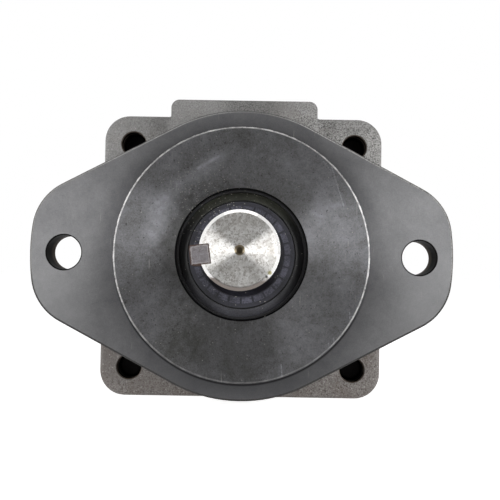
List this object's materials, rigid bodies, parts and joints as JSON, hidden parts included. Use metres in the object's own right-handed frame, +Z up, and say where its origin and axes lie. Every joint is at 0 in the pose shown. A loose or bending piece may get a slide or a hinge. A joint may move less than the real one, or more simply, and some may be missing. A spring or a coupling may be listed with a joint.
{
  "type": "hydraulic vane pump",
  "caption": "Balanced hydraulic vane pump with a two-bolt flange, round pilot, keyed straight shaft, square bolted joint and two top port pads; cartridge and bearing inside.",
  "frame": {"origin": "centre of the mounting face on the shaft axis", "axes": "-Y along the shaft towards its keyed end, +X to the right as seen from the shaft end, +Z up through the outlet port"},
  "size_m": [0.216, 0.262, 0.1684],
  "materials": {
    "cast_iron": "dark phosphated, machined on the flange, pilot and pads, as cast elsewhere",
    "shaft_steel": "turned and ground",
    "key_steel": "cold drawn, dull, rusty edges",
    "seal_steel": "pressed sheet, dull",
    "nitrile_rubber": "moulded, satin",
    "white_plastic": "matt",
    "hard_steel": "hardened and ground",
    "spring_steel": "black spring steel",
    "ground_steel": "hardened and ground",
    "bronze": "machined",
    "screw_steel": "black oxide"
  },
  "bodies": {
    "housing": {"front_housing": "cast_iron", "inlet_cover": "cast_iron", "cover_screws": "screw_steel", "cover_joint_ring": "nitrile_rubber", "seal_case": "seal_steel", "seal_rubber": "nitrile_rubber", "garter_spring": "seal_steel", "bearing_outer_race": "hard_steel", "bearing_retaining_ring": "spring_steel", "cam_ring": "ground_steel", "outlet_side_plate": "bronze", "inlet_side_plate": "bronze", "outlet_support_plate": "ground_steel", "inlet_support_plate": "ground_steel", "plate_rim_ring": "nitrile_rubber", "hub_ring": "nitrile_rubber", "hub_backup_ring": "white_plastic", "dowel_pins": "hard_steel", "cartridge_screws": "screw_steel", "rear_bushing": "bronze"},
    "shaft": {"shaft": "shaft_steel", "shaft_key": "key_steel", "rotor": "ground_steel", "vane_inserts": "ground_steel", "bearing_inner_race": "hard_steel", "shaft_snap_ring": "spring_steel"},
    "cage": {"bearing_cage": "seal_steel", "bearing_balls": "hard_steel"},
    "vane_1": {"vane_1": "ground_steel"},
    "vane_2": {"vane_2": "ground_steel"},
    "vane_3": {"vane_3": "ground_steel"},
    "vane_4": {"vane_4": "ground_steel"},
    "vane_5": {"vane_5": "ground_steel"},
    "vane_6": {"vane_6": "ground_steel"},
    "vane_7": {"vane_7": "ground_steel"},
    "vane_8": {"vane_8": "ground_steel"},
    "vane_9": {"vane_9": "ground_steel"},
    "vane_10": {"vane_10": "ground_steel"},
    "vane_11": {"vane_11": "ground_steel"},
    "vane_12": {"vane_12": "ground_steel"}
  },
  "joints": [
    {"name": "shaft_spin", "type": "hinge", "parent": "housing", "child": "shaft", "pos_m": [0, 0, 0], "axis": [0, 1, 0], "continuous": true},
    {"name": "cage_spin", "type": "hinge", "parent": "housing", "child": "cage", "pos_m": [0, 0, 0], "axis": [0, 1, 0], "continuous": true},
    {"name": "vane_1_slide", "type": "slide", "parent": "shaft", "child": "vane_1", "axis": [-0.9252, 0, -0.3795], "range_m": [-0.0004, 0.000202]},
    {"name": "vane_2_slide", "type": "slide", "parent": "shaft", "child": "vane_2", "axis": [-0.6115, 0, -0.7912], "range_m": [-0.0004, 0.00005]},
    {"name": "vane_3_slide", "type": "slide", "parent": "shaft", "child": "vane_3", "axis": [-0.134, 0, -0.991], "range_m": [-0.0004, 0.00235]},
    {"name": "vane_4_slide", "type": "slide", "parent": "shaft", "child": "vane_4", "axis": [0.3795, 0, -0.9252], "range_m": [-0.0004, 0.00596]},
    {"name": "vane_5_slide", "type": "slide", "parent": "shaft", "child": "vane_5", "axis": [0.7912, 0, -0.6115], "range_m": [-0.0004, 0.00618]},
    {"name": "vane_6_slide", "type": "slide", "parent": "shaft", "child": "vane_6", "axis": [0.991, 0, -0.134], "range_m": [-0.0004, 0.00381]},
    {"name": "vane_7_slide", "type": "slide", "parent": "shaft", "child": "vane_7", "axis": [0.9252, 0, 0.3795], "range_m": [-0.0004, 0.000202]},
    {"name": "vane_8_slide", "type": "slide", "parent": "shaft", "child": "vane_8", "axis": [0.6115, 0, 0.7912], "range_m": [-0.0004, 0.00005]},
    {"name": "vane_9_slide", "type": "slide", "parent": "shaft", "child": "vane_9", "axis": [0.134, 0, 0.991], "range_m": [-0.0004, 0.00235]},
    {"name": "vane_10_slide", "type": "slide", "parent": "shaft", "child": "vane_10", "axis": [-0.3795, 0, 0.9252], "range_m": [-0.0004, 0.00596]},
    {"name": "vane_11_slide", "type": "slide", "parent": "shaft", "child": "vane_11", "axis": [-0.7912, 0, 0.6115], "range_m": [-0.0004, 0.00618]},
    {"name": "vane_12_slide", "type": "slide", "parent": "shaft", "child": "vane_12", "axis": [-0.991, 0, 0.134], "range_m": [-0.0004, 0.00381]}
  ],
  "couplings": [
    {"joint": "cage_spin", "follows": "shaft_spin", "ratio": 0.41814}
  ]
}
